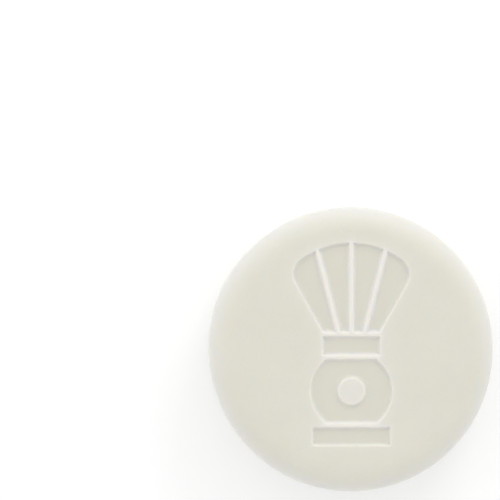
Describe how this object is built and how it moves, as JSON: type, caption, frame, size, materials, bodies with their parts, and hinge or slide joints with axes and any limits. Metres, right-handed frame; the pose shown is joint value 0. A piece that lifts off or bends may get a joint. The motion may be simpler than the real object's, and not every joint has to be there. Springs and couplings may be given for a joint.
{
  "type": "shaving soap puck",
  "caption": "Round puck of hard white shaving soap with soft shoulders and a shaving brush pressed into its upper face; lies in a bowl, mug or tin.",
  "frame": {"origin": "centre of the flat underside, on the surface that the puck lies on", "axes": "+Z along the puck's axis, out of the face with the pressed brush; +Y from the brush's foot towards its bristles; +X to the brush's right"},
  "size_m": [0.065, 0.065, 0.022],
  "materials": {
    "soap": "satin, waxy, slightly translucent pressed soap"
  },
  "bodies": {
    "root": {"soap_puck": "soap"}
  },
  "joints": []
}
